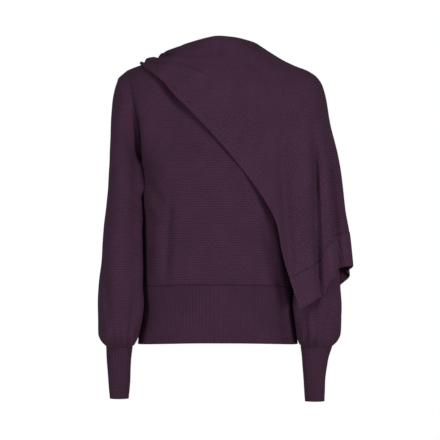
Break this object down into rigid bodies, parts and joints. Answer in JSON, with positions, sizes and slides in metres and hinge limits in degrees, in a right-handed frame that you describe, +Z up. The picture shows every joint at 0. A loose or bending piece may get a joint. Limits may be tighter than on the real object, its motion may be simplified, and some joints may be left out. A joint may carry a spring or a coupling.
{
  "type": "sweater",
  "caption": "Plum fine-knit sweater with blouson sleeves, deep ribbed cuffs and hem, and a draped scarf over one shoulder.",
  "frame": {"origin": "midway between the neck ends of the two shoulder seams, where the garment rests on its wearer", "axes": "+Z up, -Y out of the garment's front, +X to the wearer's left"},
  "size_m": [0.5326, 0.2274, 0.7603],
  "materials": {
    "jersey": "matte",
    "rib": "matte",
    "scarf_knit": "matte"
  },
  "bodies": {
    "root": {"front_panel": "jersey", "back_panel": "jersey", "right_sleeve": "jersey", "left_sleeve": "jersey", "front_hem_rib": "rib", "back_hem_rib": "rib", "right_cuff": "rib", "left_cuff": "rib", "neckband": "rib", "scarf_front": "scarf_knit", "scarf_arm": "scarf_knit", "scarf_end_rib": "scarf_knit"}
  },
  "joints": []
}
